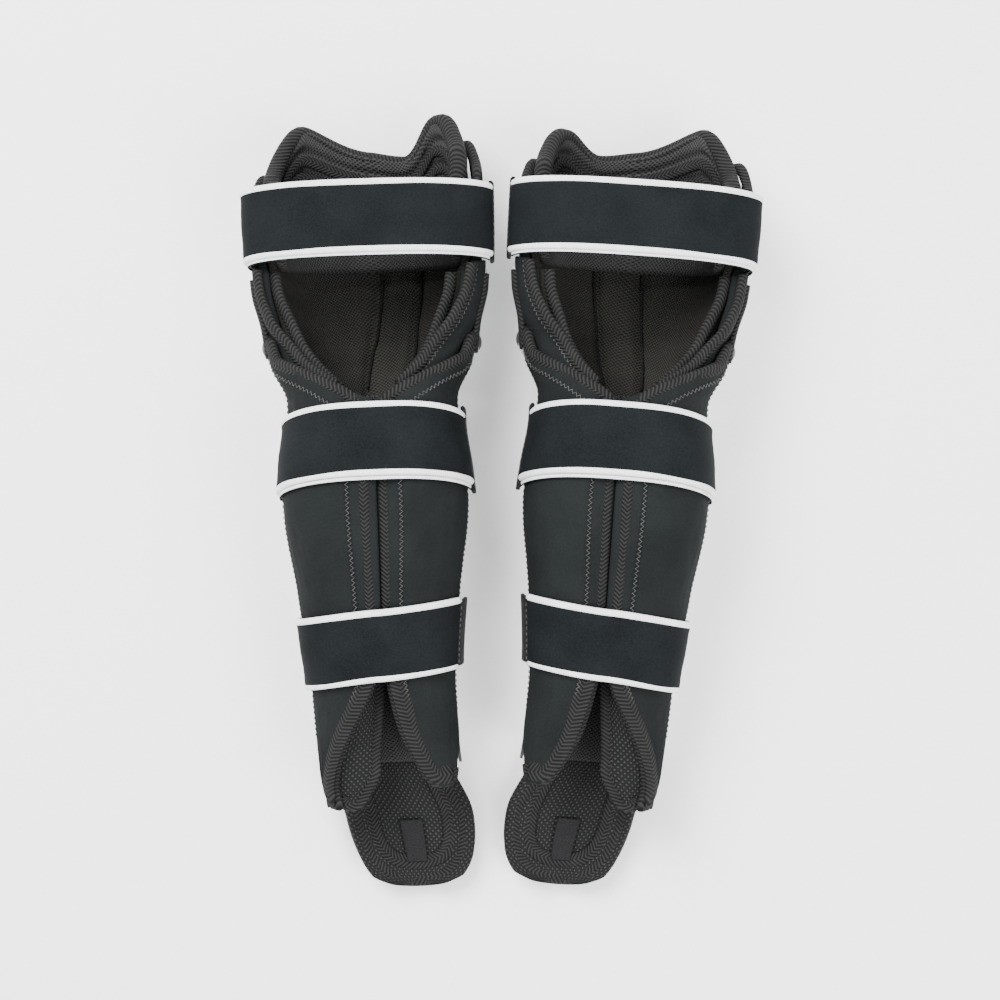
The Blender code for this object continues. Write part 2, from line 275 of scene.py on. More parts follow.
def wrap_knit():
    """Charcoal brushed knit over foam: fine pile, faint mottling."""
    g = Graph("wrap_knit", 0.88, specular=0.09)
    u, v = g.uv()
    rows = g.wave(u, 0.0011)
    loops = g.wave(v, 0.0014)
    pile = g.noise(1300, 2)
    height = g.math("ADD", g.math("MULTIPLY", g.math("MULTIPLY", rows, loops), 0.4), pile)
    tone = g.mix(pile, 0.5, g.noise(24, 5), 0.5)
    return g.finish(g.ramp(tone, (0.0042, 0.0052, 0.0052), (0.0112, 0.0132, 0.0132)), height, 0.0003, 0.55)


def dots(g, pitch, turn, low, high):
    """A turned square grid of dots: 0 in the dots and 1 around them, or 1 in them if low > high."""
    vector = g.node("ShaderNodeMapping", {"Vector": g.node("ShaderNodeTexCoord").outputs["UV"]})
    vector.inputs["Scale"].default_value = (1 / pitch, 1 / pitch, 1)
    vector.inputs["Rotation"].default_value = (0, 0, math.radians(turn))
    cells = g.node("ShaderNodeTexVoronoi", {"Vector": vector.outputs[0], "Scale": 1.0, "Randomness": 0.0})
    cells.voronoi_dimensions = "2D"
    limits = {"Value": cells.outputs["Distance"], "From Min": low, "From Max": high}
    return g.node("ShaderNodeMapRange", limits).outputs["Result"]


def lining_mesh():
    """Black knitted spacer mesh with small holes in slanting rows."""
    g = Graph("lining_mesh", 0.8, specular=0.2)
    threads = dots(g, 0.0017, 38, 0.2, 0.45)
    tone = g.mix(threads, 0.62, g.noise(60, 4), 0.5)
    colour = g.ramp(tone, (0.0058, 0.006, 0.0057), (0.034, 0.035, 0.0335), 0.2, 1.0)
    return g.finish(colour, threads, 0.0006, 0.9)


def cup_mesh():
    """The knee cup's spacer mesh, darker and slightly brown."""
    g = Graph("cup_mesh", 0.8, specular=0.2)
    threads = dots(g, 0.0016, 30, 0.2, 0.45)
    tone = g.mix(threads, 0.5, g.noise(36, 5), 0.62)
    colour = g.ramp(tone, (0.0036, 0.0035, 0.003), (0.022, 0.0212, 0.018), 0.25, 0.95)
    return g.finish(colour, threads, 0.0006, 0.9)


def tongue_mesh():
    """Diamond mesh: rows of paler knots on dark, open threads."""
    g = Graph("tongue_mesh", 0.75, specular=0.2)
    knots = dots(g, 0.0027, 45, 0.42, 0.16)
    tone = g.mix(knots, 0.7, g.noise(90, 3), 0.35)
    colour = g.ramp(tone, (0.0022, 0.0024, 0.0024), (0.032, 0.033, 0.0325), 0.3, 1.0)
    return g.finish(colour, knots, 0.0008, 1.0)


def herringbone():
    """Binding tape: ribs that slant both ways from the middle of the tape."""
    g = Graph("herringbone", 0.8, specular=0.12)
    u, v = g.uv()
    along_tape = g.math("MULTIPLY", u, math.tau / 0.0027)
    slant = g.math("ADD", along_tape, g.math("MULTIPLY", g.math("ABSOLUTE", v), 9.0))
    ribs = g.math("MULTIPLY_ADD", g.math("SINE", slant), 0.5)
    tone = g.mix(ribs, 0.7, g.noise(120, 3), 0.3)
    colour = g.ramp(tone, (0.0028, 0.0029, 0.0029), (0.0215, 0.022, 0.0212), 0.15, 0.95)
    return g.finish(colour, ribs, 0.0006, 0.9)


def hook_fabric():
    """Black hook-and-loop tab: short bristly pile."""
    g = Graph("hook_fabric", 0.7, specular=0.15)
    pile = g.noise(1500, 1)
    return g.finish(g.ramp(pile, (0.0022, 0.0022, 0.0025), (0.0095, 0.0095, 0.0105)), pile, 0.0005, 0.8)


def thread():
    """Dark grey sewing thread, twisted."""
    g = Graph("thread", 0.5, specular=0.3)
    tone = g.noise(700, 2)
    return g.finish(g.ramp(tone, (0.02, 0.02, 0.02), (0.075, 0.075, 0.073)), tone, 0.0002, 0.5)


def uneven_gloss(g, scale, detail, low, high):
    """Roughness that wanders between low and high."""
    limits = {"Value": g.noise(scale, detail), "To Min": low, "To Max": high}
    return g.node("ShaderNodeMapRange", limits).outputs["Result"]


def shell_plastic():
    """White moulded plastic: orange-peel gloss and a little grey wear."""
    g = Graph("shell_plastic", 0.32)
    wear = g.ramp(g.noise(30, 6), (0.72, 0.73, 0.74), (0.86, 0.87, 0.88), 0.35, 0.6)
    return g.finish(wear, g.noise(500, 2), 0.0002, 0.2, uneven_gloss(g, 45, 4, 0.26, 0.42))


def wing_plastic():
    """Thin black plastic sheet with a fine grain and greyed scuffs."""
    g = Graph("wing_plastic", 0.42)
    scuff = g.ramp(g.noise(70, 8), (0.016, 0.017, 0.019), (0.05, 0.053, 0.056), 0.5, 0.78)
    return g.finish(scuff, g.noise(1100, 2), 0.0002, 0.35, uneven_gloss(g, 60, 5, 0.34, 0.6))


def foam_skin():
    """Closed-cell foam with a pitted skin."""
    g = Graph("foam_skin", 0.9)
    cells = g.noise(800, 2)
    return g.finish(g.ramp(cells, (0.02, 0.02, 0.022), (0.05, 0.05, 0.054)), cells, 0.0004, 0.6)


def rivet_metal():
    """Nickel-plated rivet, lightly worn."""
    g = Graph("rivet_metal", 0.3, 1.0)
    wear = g.noise(300, 5)
    return g.finish(g.ramp(wear, (0.42, 0.42, 0.43), (0.68, 0.68, 0.69)), wear, 0.0001, 0.2)


LOOKS = {make.__name__: make() for make in (
    elastic_weave, white_edge, wrap_knit, lining_mesh, cup_mesh, tongue_mesh, herringbone,
    hook_fabric, thread, shell_plastic, wing_plastic, foam_skin, rivet_metal)}


# ---------------------------------------------------------------- mesh building

def stations(length, rim, count):
    """Shares 0 to 1 of a length in mm: close together in the rounded rim, even between."""
    rim = min(rim, length * 0.3)
    lip = np.array([0.0, 0.06, 0.2, 0.42, 0.7, 1.0]) * rim / length
    middle = np.linspace(lip[-1], 1 - lip[-1], count)
    return np.concatenate([lip[:-1], middle, 1 - lip[:-1][::-1]])


def run_lengths(points):
    """Distance along a row of points, from its first one."""
    return np.concatenate([[0.0], np.cumsum(np.linalg.norm(np.diff(points, axis=0), axis=1))])


def make_object(guard, name, points, faces, uvs, look):
    """An object of this guard from points in mm, faces and one UV (in m) for each point."""
    mesh = bpy.data.meshes.new(name)
    mesh.from_pydata([guard.world(p) for p in points], [], faces)
    layer = mesh.uv_layers.new(name="UVMap")
    corner_verts = np.empty(len(mesh.loops), np.int32)
    mesh.loops.foreach_get("vertex_index", corner_verts)
    layer.data.foreach_set("uv", np.asarray(uvs, np.float32)[corner_verts].ravel())
    bm = bmesh.new()
    bm.from_mesh(mesh)
    bmesh.ops.recalc_face_normals(bm, faces=bm.faces)
    bm.to_mesh(mesh)
    bm.free()
    mesh.shade_smooth()
    mesh.materials.append(LOOKS[look])
    made = bpy.data.objects.new(f"{guard.name}_{name}", mesh)
    bpy.context.scene.collection.objects.link(made)
    return made


def pad(guard, name, look, face, wall, counts, rim, outside=None, inside=None):
    """A pad of a wall thickness in mm, with its edges rounded over rim mm.

    face(a, b, depth) gives points for shares a across and b along, at a depth in mm below the
    pad's outer face. outside and inside raise a face by mm at (a, b).
    """
    probe = np.linspace(0, 1, 40)
    across = run_lengths(face(probe, np.full(40, 0.5), 0.0))[-1]
    length = run_lengths(face(np.full(40, 0.5), probe, 0.0))[-1]
    a = stations(across, rim, counts[0])
    b = stations(length, rim, counts[1])
    grid_a, grid_b = np.meshgrid(a, b, indexing="ij")
    to_side = np.minimum(grid_a, 1 - grid_a) * across
    to_end = np.minimum(grid_b, 1 - grid_b) * length
    to_rim = np.minimum(to_side, to_end)
    round_off = np.sqrt(np.maximum(0.0, 1 - (1 - np.minimum(to_rim / rim, 1)) ** 2))
    half = wall / 2
    up = half * (1 - round_off)
    down = wall - half * (1 - round_off)
    if outside is not None:
        up = up - outside(grid_a, grid_b) * round_off
    if inside is not None:
        down = down + inside(grid_a, grid_b) * round_off
    rows, cols = grid_a.shape
    outer = face(grid_a, grid_b, up).reshape(-1, 3)
    inner = face(grid_a, grid_b, down).reshape(-1, 3)
    uv = np.stack([grid_a * across, grid_b * length], axis=-1).reshape(-1, 2) * MM
    # The two faces share the points of the pad's edge.
    over = np.arange(rows * cols).reshape(rows, cols)
    under = over.copy()
    interior = np.zeros((rows, cols), bool)
    interior[1:-1, 1:-1] = True
    under[interior] = rows * cols + np.arange(interior.sum())
    points = np.concatenate([outer, inner[interior.ravel()]])
    uvs = np.concatenate([uv, uv[interior.ravel()]])
    faces = []
    for table, turn in ((over, 1), (under, -1)):
        corners = [table[:-1, :-1], table[1:, :-1], table[1:, 1:], table[:-1, 1:]]
        quads = np.stack(corners, axis=-1).reshape(-1, 4)
        faces += [tuple(quad[::turn]) for quad in quads.tolist()]
    return make_object(guard, name, points, faces, uvs, look)


def smooth_keys(keys, rounds):
    """Rounds the corners of a chain of points by cutting them."""
    keys = np.asarray(keys, float)
    for _ in range(rounds):
        cut = [keys[0]]
        for first, second in zip(keys, keys[1:]):
            cut += [first * 0.75 + second * 0.25, first * 0.25 + second * 0.75]
        keys = np.array([*cut, keys[-1]])
    return keys


def route(face, keys, depth, step, rounds=3):
    """Points and outward normals along a chain of (a, b) keys on a pad's face, step mm apart."""
    keys = smooth_keys(keys, rounds)
    runs = [np.linspace(first, second, 12, endpoint=False) for first, second in zip(keys, keys[1:])]
    dense = np.concatenate([*runs, keys[-1:]])
    runs = run_lengths(face(dense[:, 0], dense[:, 1], depth))
    count = max(4, int(runs[-1] / step))
    marks = np.linspace(0, runs[-1], count)
    a = np.interp(marks, runs, dense[:, 0])
    b = np.interp(marks, runs, dense[:, 1])
    points = face(a, b, depth)
    normals = face(a, b, depth - 0.5) - face(a, b, depth + 0.5)
    return points, normals / np.linalg.norm(normals, axis=1, keepdims=True)


def sweep(guard, name, look, points, normals, section):
    """A closed rod along points; its section is rows of (across, out, v), out along the normals."""
    tangents = np.gradient(points, axis=0)
    tangents /= np.linalg.norm(tangents, axis=1, keepdims=True)
    sides = np.cross(normals, tangents)
    sides /= np.linalg.norm(sides, axis=1, keepdims=True)
    lengths = run_lengths(points)
    turns = len(section)
    verts, uvs, faces = [], [], []
    for point, normal, side, run in zip(points, normals, sides, lengths):
        for across, out, v in section:
            verts.append(point + side * across + normal * out)
            uvs.append((run * MM, v))
    last = (len(points) - 1) * turns
    for ring in range(0, last, turns):
        for k in range(turns):
            after = (k + 1) % turns
            faces.append((ring + k, ring + after, ring + turns + after, ring + turns + k))
    faces.append(tuple(range(turns)))
    faces.append(tuple(last + k for k in reversed(range(turns))))
    return make_object(guard, name, verts, faces, uvs, look)


def oval(half_width, half_thick, sides=14):
    """An oval section; v runs -1 to 1 across it, for the tape's slanting ribs."""
    turns = [math.tau * k / sides for k in range(sides)]
    return [(half_width * math.cos(t), half_thick * math.sin(t), math.cos(t)) for t in turns]


def binding(guard, name, face, keys, wall, half_width, proud, rounds=3):
    """Folded tape over a pad's rim: it wraps both faces along the (a, b) keys, proud mm outside."""
    points, normals = route(face, keys, wall / 2, TAPE_STEP, rounds)
    return sweep(guard, name, "herringbone", points, normals, oval(half_width, wall / 2 + proud))


def tape(guard, name, face, keys, depth, half_width, height, sign=1, rounds=3):
    """Flat tape sewn on a face. sign is 1 on the outer face and -1 on the inner one."""
    points, normals = route(face, keys, depth, TAPE_STEP, rounds)
    return sweep(guard, name, "herringbone", points, normals * sign, oval(half_width, height))


def zigzag(guard, name, face, keys, depth, sign=1):
    """A zigzag seam of thread on a face."""
    points, normals = route(face, keys, depth, THREAD_PITCH / 2)
    tangents = np.gradient(points, axis=0)
    sides = np.cross(normals, tangents)
    sides /= np.linalg.norm(sides, axis=1, keepdims=True)
    swings = np.where(np.arange(len(points)) % 2 == 0, THREAD_SWING, -THREAD_SWING)[:, None]
    return sweep(guard, name, "thread", points + sides * swings, normals * sign, oval(0.35, 0.35, 5))


def stitches(guard, name, face, keys, depth):
    """A row of separate straight stitches, joined as one piece."""
    points, normals = route(face, keys, depth, (STITCH_LENGTH + STITCH_GAP) / 2, 1)
    made = []
    for k in range(0, len(points) - 1, 2):
        arc = np.array([points[k], (points[k] + points[k + 1]) / 2, points[k + 1]])
        arc[1] += normals[k] * 0.3
        upright = np.repeat(normals[k:k + 1], 3, axis=0)
        made.append(sweep(guard, f"{name}_{k}", "thread", arc, upright, oval(0.38, 0.3, 6)))
    return join(made, f"{guard.name}_{name}")


def join(pieces, name):
    """Joins mesh objects into the first one."""
    whole = pieces[0]
    bm = bmesh.new()
    for piece in pieces:
        bm.from_mesh(piece.data)
    bm.to_mesh(whole.data)
    bm.free()
    for piece in pieces[1:]:
        bpy.data.objects.remove(piece, do_unlink=True)
    whole.name = name
    return whole


def groove(distance, width, depth):
    """A soft seam: -depth on the line, fading over the width."""
    return -depth * np.exp(-(distance / width) ** 2)


def ripple(a, b, scale, seed):
    """Slow unevenness of -1 to 1 over a face, the same each run."""
    values = [noise.noise(Vector((x * scale, y * scale * 2, seed))) for x, y in zip(a.ravel(), b.ravel())]
    return np.array(values).reshape(a.shape)


# ---------------------------------------------------------------- soft pieces

def on_skin(angles, low, high, depth):
    """A pad face between two angles, from y = low(angle) to high(angle), at depth(y)."""

    def face(a, b, below):
        angle = angles[0] + (angles[1] - angles[0]) * np.asarray(a, float)
        start, end = low(angle), high(angle)
        y = start + (end - start) * b
        return skin(angle, y, depth(y) + below)

    return face


def settle(piece, guard, body):
    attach(piece, guard.body(body))


def bend(piece, guard, fold):
    first, second, start, end = fold
    guard.body(first)
    guard.body(second)
    guard.world((0, start, FOLD_DEPTH))
    guard.world((0, end, FOLD_DEPTH))
    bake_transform(piece)


def shin_lining(guard):
    """Mesh lining of the leg cavity with four long sewn channels, two of them taped."""
    face = on_skin(
        (-88, 88),
        lambda t: -172 + 6 * ease(30, 88, np.abs(t)),
        lambda t: 66 + 26 * ease(30, 88, np.abs(t)),
        lambda y: 15.6)

    def inside(a, b):
        from_middle = np.abs(a - 0.5)
        return 1.2 + groove(from_middle - 0.17, 0.02, 1.6) + groove(from_middle - 0.36, 0.02, 1.4)

    lining = pad(guard, "lining_pad", "lining_mesh", face, 3.4, (64, 110), 1.6, inside=inside)
    settle(lining, guard, "shin")
    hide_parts(f"{guard.name}_shin_lining")
    for side, a in (("outer", 0.33), ("inner", 0.67)):
        seam = tape(guard, f"lining_tape_{side}", face, [(a, 0.02), (a, 0.98)], 4.6, 3.0, 0.7, -1)
        settle(seam, guard, "shin")


def knee_top(t):
    """Height of the upper edge of the knee cup and foam."""
    return 158 - 14 * ease(88, 118, np.abs(t))


def cup_face(a, b, below):
    """Face of the knee cup: its sides close in towards the calf seam as they go down."""
    closing = (1 - np.asarray(b, float)) ** 2.2
    first = -112 - 50 * closing
    last = 130 + 34 * closing
    angle = first + (last - first) * np.asarray(a, float)
    side = np.abs(angle)
    low = 62 + 40 * ease(26, 92, side) - 32 * ease(92, 150, side)
    y = low + (knee_top(angle) - low) * b
    return skin(angle, y, 11.6 + 4.6 * (1 - ease(78, 104, y)) + below)


def knee_cup(guard):
    """Lined cup for the knee: mesh, a middle channel, and a piped rim."""
    creases = (0.475, 0.57) if guard.side > 0 else (0.44, 0.525)

    def inside(a, b):
        swell = 2.2 * np.sin(np.pi * np.clip((b - 0.04) / 0.9, 0, 1))
        lines = sum(groove(a - c, 0.009, 3.6) for c in creases)
        rib = 1.8 * ease(creases[0], creases[0] + 0.02, a) * (1 - ease(creases[1] - 0.02, creases[1], a))
        return swell + lines + rib + 1.2 * ripple(a, b, 4.0, 3.1)

    cup = pad(guard, "knee_cup_pad", "cup_mesh", cup_face, 4.4, (100, 70), 2.2, inside=inside)
    bend(cup, guard, CUP_FOLD)
    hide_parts(f"{guard.name}_knee_cup")
    for number, a in enumerate(creases):
        keys = [(a, 0.12), (a, 0.97)]
        crease = tape(guard, f"knee_cup_crease_{number}", cup_face, keys, 4.6, 0.9, 0.7, -1)
        bend(crease, guard, CUP_FOLD)
    for side, a in (("outer", 0.014), ("inner", 0.986)):
        keys = [(a, 0.99), (a, 0.5), (a, 0.02)]
        rim = binding(guard, f"knee_cup_binding_{side}", cup_face, keys, 4.4, 4.6, 1.4)
        bend(rim, guard, CUP_FOLD)
    keys = [(0.1, 0.08), (0.3, 0.07), (0.5, 0.06), (0.7, 0.07), (0.9, 0.08)]
    seam = zigzag(guard, "knee_cup_seam", cup_face, keys, 6.4, sign=-1)
    bend(seam, guard, CUP_FOLD)


def knee_foam(guard):
    """Fabric-covered foam between the knee cap and the cup."""

    def low(t):
        return 76 + 28 * ease(26, 92, np.abs(t))

    face = on_skin((-109, 122), low, knee_top, lambda y: 4.4)
    foam = pad(guard, "knee_foam_pad", "wrap_knit", face, 6.2, (80, 40), 3.0)
    bend(foam, guard, FOAM_FOLD)
    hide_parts(f"{guard.name}_knee_foam")


def knee_sides(guard):
    """Soft side panels that run from the thigh strap down under the wraps, with a taped edge."""
    wall = 2.2
    for side, sign, top_angle, flare, power in (("inner", 1, 121, 46, 1.7), ("outer", -1, 107, 58, 2.5)):

        def face(a, b, below, sign=sign, top_angle=top_angle, flare=flare, power=power):
            a = np.asarray(a, float)
            b = np.asarray(b, float)
            edge = top_angle + flare * (1 - b) ** power
            angle = 92 + (edge - 92) * a
            y = 90 + 62 * b + (-20 + 18 * b) * a
            return skin(sign * angle, y, 8.2 - 6.4 * ease(94, 116, y) + below)

        panel = pad(guard, f"knee_side_{side}", "wrap_knit", face, wall, (36, 40), 1.1,
                    outside=lambda a, b: 0.5 * ripple(a, b, 3.0, 6.6))
        bend(panel, guard, SIDE_FOLD)
        keys = [(0.97, 0.98), (0.97, 0.5), (0.97, 0.02)]
        rim = binding(guard, f"knee_side_binding_{side}", face, keys, wall, 4.4, 2.2)
        bend(rim, guard, SIDE_FOLD)
        keys = [(0.8, 0.97), (0.8, 0.5), (0.86, 0.2), (0.88, 0.03)]
        seam = zigzag(guard, f"knee_side_seam_{side}", face, keys, -0.2)
        bend(seam, guard, SIDE_FOLD)
        cap_edge = on_skin((sign * 90.0, sign * 98.0), lambda t: 93.0, lambda t: 143.0, lambda y: 0.0)
        keys = [(0.62, 0.0), (0.62, 0.5), (0.62, 1.0)]
        bound = binding(guard, f"knee_cap_binding_{side}", cap_edge, keys, 2.6, 4.6, 1.0)
        settle(bound, guard, "knee")


def thigh_bottom(t):
    """Height of the lower edge of the thigh section."""
    return 163.5 + 16 * ease(86, 116, np.abs(t))


def thigh_inner_pad(guard):
    """Leading pad above the knee: two lobes, taped edge and two sewn channels."""
    lobe_height = 247.0 if guard.side > 0 else 236.0

    def top(t):
        lobe = np.where(t > 18, lobe_height, 243.0)
        reach = np.where(t > 18, 34.0, 68.0)
        dip = 222 + (lobe - 222) * ease(0, 1, np.abs(t - 18) / reach)
        shoulder = np.where(t > 0, 58.0, 42.0)
        return dip - 38 * ease(0, 1, (np.abs(t) - shoulder) / 58)

    def bottom(t):
        return thigh_bottom(t) - 14

    def depth(y):
        return 13.6 + 3.4 * (1 - ease(150, 172, y))

    face = on_skin((-112, 112), bottom, top, depth)

    def inside(a, b):
        from_top = (1 - b) * 80.0
        quilt = groove(from_top - 12.5, 2.0, 3.6) + groove(from_top - 25, 2.0, 3.0)
        swell = 2.4 * np.sin(np.pi * np.clip(a, 0, 1)) ** 0.5
        return swell + quilt + 0.5 * ripple(a, b, 6.0, 7.7)

    body = pad(guard, "thigh_inner_pad_cover", "lining_mesh", face, 6.4, (96, 60), 3.0, inside=inside)
    bend(body, guard, THIGH_FOLD)
    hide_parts(f"{guard.name}_thigh_inner_pad")
    edge = [(0.015, 0.1), (0.015, 0.85), (0.04, 0.955), (0.12, 0.965), (0.25, 0.965), (0.4, 0.96),
            (0.6, 0.96), (0.75, 0.965), (0.88, 0.965), (0.96, 0.955), (0.985, 0.85), (0.985, 0.1)]
    rim = binding(guard, "thigh_inner_binding", face, edge, 6.4, 5.2, 2.6)
    bend(rim, guard, THIGH_FOLD)
    for number, b in ((1, 0.775), (2, 0.66)):
        keys = [(0.06, b - 0.2), (0.1, b - 0.03), (0.2, b), (0.4, b),
                (0.6, b), (0.8, b), (0.9, b - 0.03), (0.94, b - 0.2)]
        channel = tape(guard, f"thigh_channel_{number}", face, keys, 8.6, 3.6, 1.4, -1)
        bend(channel, guard, THIGH_FOLD)


def thigh_outer_pad(guard):
    """Second padded layer behind the inner pad, bound along its top."""
    shoulders = (230.0, 211.0) if guard.side > 0 else (216.0, 222.0)

    def top(t):
        side = np.abs(t)
        shoulder = np.where(t > 0, *shoulders)
        return 208 + (shoulder - 208) * ease(20, 58, side) - 24 * ease(70, 100, side)

    face = on_skin((-100, 100), thigh_bottom, top, lambda y: 3.4)
    body = pad(guard, "thigh_outer_pad_cover", "wrap_knit", face, 6.0, (70, 40), 2.8)
    settle(body, guard, "thigh")
    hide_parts(f"{guard.name}_thigh_outer_pad")
    edge = [(0.02, 0.3), (0.02, 0.9), (0.06, 0.97), (0.3, 0.97),
            (0.7, 0.97), (0.94, 0.97), (0.98, 0.9), (0.98, 0.3)]
    settle(binding(guard, "thigh_outer_binding", face, edge, 6.0, 3.4, 0.4), guard, "thigh")


def wrap_face(sign):
    """Face of a calf wrap: a from the shell's edge to the free edge, b from the ankle up."""
    lowest = -176 if sign > 0 else -190
    opening = 9 if sign > 0 else 52
    rise = 24 if sign > 0 else 20

    def face(a, b, below):
        a = np.asarray(a, float)
        top = 95 - 31 * a ** 1.6 + 13 * (1 - ease(0, 0.2, a))
        low = lowest + 14 - 22 * ease(0, 0.34, a) + rise * ease(0.6, 1, a)
        y = low + (top - low) * b
        closed = 179.3 if sign > 0 else 181.0
        edge = closed - opening * (1 - ease(lowest, -100, y))
        start = 97 + 15 * (1 - ease(-178, -105, y))
        angle = start + (edge - start) * a
        tucked = 3.6 * ease(0.8, 1, a) * ease(-130, -90, y) if sign > 0 else 0.0
        return skin(sign * angle, y, 0.5 + tucked + below)

    return face


def calf_wraps(guard):
    """The two padded wraps, their bindings and seams."""
    wall = 6.6
    for name, sign in (("inner", 1), ("outer", -1)):
        body = f"wrap_{name}"
        face = wrap_face(sign)

        def outside(a, b, sign=sign):
            swell = 0.9 * np.sin(np.pi * np.clip(a, 0, 1)) ** 0.6
            folds = 0.55 * ripple(a, b, 4.0, 11.3 * sign) + 0.25 * ripple(a, b, 11.0, 5.9 * sign)
            return swell * 0.3 + folds - 0.3 + groove(a - 0.86, 0.02, 0.9)

        cover = pad(guard, f"{body}_cover", "wrap_knit", face, wall, (60, 120), 3.2, outside=outside)
        settle(cover, guard, body)
        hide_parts(f"{guard.name}_{body}")
        edge = [(0.03, 0.985), (0.3, 0.985), (0.6, 0.985), (0.9, 0.985), (0.955, 0.96), (0.955, 0.8),
                (0.955, 0.5), (0.955, 0.2), (0.95, 0.05), (0.85, 0.015), (0.5, 0.015), (0.2, 0.015)]
        settle(binding(guard, f"{body}_binding", face, edge, wall, 4.4, 0.5), guard, body)
        inset = [(0.05, 0.955), (0.3, 0.955), (0.6, 0.95), (0.83, 0.94),
                 (0.865, 0.9), (0.865, 0.5), (0.865, 0.2), (0.84, 0.06)]
        settle(zigzag(guard, f"{body}_seam", face, inset, -0.1), guard, body)
        row = [(0.06, 0.93), (0.06, 0.5), (0.06, 0.1)]
        settle(stitches(guard, f"{body}_stitches", face, row, 0.1), guard, body)
        wide = [(0.93, 0.4), (0.925, 0.3), (0.91, 0.18), (0.88, 0.07),
                (0.8, 0.035), (0.6, 0.03), (0.35, 0.03)]
        settle(tape(guard, f"{body}_wide_band", face, wide, 0.2, 6.4, 1.5), guard, body)
    wrap_cuff(guard)


def wrap_cuff(guard):
    """Mesh inside of the outer wrap's flared end, bound round its lower edge."""
    wall = 3.6

    def face(a, b, below):
        a, b, below = spread(a, b, below)
        y = -198 + 86 * b
        near = 173.5 - 52 * (1 - ease(-190, -100, y))
        far = 176 - 8 * (1 - ease(-172, -118, y)) - 30 * (1 - ease(-200, -172, y))
        return skin(-(near + (far - near) * a), y, 5.5 + 12 * a + below)

    cuff = pad(guard, "cuff_pad", "tongue_mesh", face, wall, (24, 40), 1.6)
    settle(cuff, guard, "wrap_outer")
    edge = [(0.93, 0.97), (0.93, 0.7), (0.93, 0.4), (0.9, 0.15), (0.7, 0.05), (0.3, 0.04), (0.05, 0.06)]
    settle(binding(guard, "cuff_binding", face, edge, wall, 5.0, 1.2), guard, "wrap_outer")


def tongue(guard):
    """Ankle flap: diamond mesh inside a wide herringbone border, with a sewn tab."""
    wall = 8.5
    half_width = ((-254, 11), (-252, 20), (-247, 30.5), (-230, 38.5), (-208, 41.5), (-181, 38), (-160, 30))

    def face(a, b, below):
        a, b, below = spread(a, b, below)
        y = -254 + 91 * b
        wide = 2 * a - 1
        x = along(BEND, y) + wide * along(half_width, y)
        return np.stack([x, y, 4 + 4 * (y + 254) / 73 + 5 * wide * wide + below], axis=-1)

    def inside(a, b):
        wide = np.abs(2 * a - 1)
        dish = -1.2 * (1 - ease(0.45, 0.75, wide)) * ease(0.08, 0.25, b)
        return dish + 0.4 * ripple(a, b, 5.0, 2.2)

    flap = pad(guard, "tongue_pad", "tongue_mesh", face, wall, (60, 60), 3.4, inside=inside)
    bend(flap, guard, ANKLE_FOLD)
    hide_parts(f"{guard.name}_tongue")
    edge = [(0.07, 0.99), (0.07, 0.5), (0.08, 0.22), (0.16, 0.08), (0.35, 0.055),
            (0.65, 0.055), (0.84, 0.08), (0.92, 0.22), (0.93, 0.5), (0.93, 0.99)]
    border = binding(guard, "tongue_border", face, edge, wall, 6.4, 0.3, rounds=4)
    bend(border, guard, ANKLE_FOLD)
    inset = [(0.19, 0.99), (0.19, 0.5), (0.2, 0.3), (0.28, 0.2), (0.42, 0.17),
             (0.58, 0.17), (0.72, 0.2), (0.8, 0.3), (0.81, 0.5), (0.81, 0.99)]
    inner_border = tape(guard, "tongue_tape", face, inset, 8.2, 4.6, 0.7, rounds=4)
    bend(inner_border, guard, ANKLE_FOLD)

    def tab_face(a, b, below):
        base = face(0.41 + 0.18 * np.asarray(a, float), 0.17 + 0.31 * np.asarray(b, float), 8.4)
        base[..., 2] += 1.6 - below
        return base

    tab = pad(guard, "tongue_tab_cover", "hook_fabric", tab_face, 1.8, (12, 20), 0.8)
    settle(tab, guard, "tongue")
    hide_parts(f"{guard.name}_tongue_tab")


def strap_line(strap, angle):
    """Height of a strap's middle at an angle round the leg."""
    crown = np.maximum(0.0, -np.cos(np.radians(angle)))
    return strap["y"] + strap["rise"] / 2 * np.sin(np.radians(angle)) - strap["drop"] * (1 - crown)


def strap_face(strap, first, last, width, out, shift=0.0):
    """Face of a band round the leg between two angles, out mm off the skin, shifted along y."""

    def face(a, b, below):
        angle = first + (last - first) * np.asarray(a, float)
        y = strap_line(strap, angle) + width * (np.asarray(b, float) - 0.5) + shift
        return skin(angle, y, below - out)

    return face


def across_hinge(piece, guard, name):
    """Bakes a strap piece in place; it looks up the strap's hinge and the body it is sewn to, but blends
    nothing over the anchored end.
    """
    fixed = "thigh" if name == "top" else "shin"
    hinge = next(j for j in frame["joints"] if j["name"] == f"{guard.name}_{name}_strap_open")
    pivot = Vector(hinge["pos_m"])
    guard.body(fixed)
    guard.body(f"{name}_strap")
    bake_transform(piece)


def strap_edge(guard, name, edge, face, b, depth, section):
    """White cord along a strap at the share b of its width."""
    points, normals = route(face, [(0.0, b), (0.5, b), (1.0, b)], depth, 2.5, 0)
    cord = sweep(guard, f"{name}_{edge}_white", "white_edge", points, normals, section)
    across_hinge(cord, guard, name)


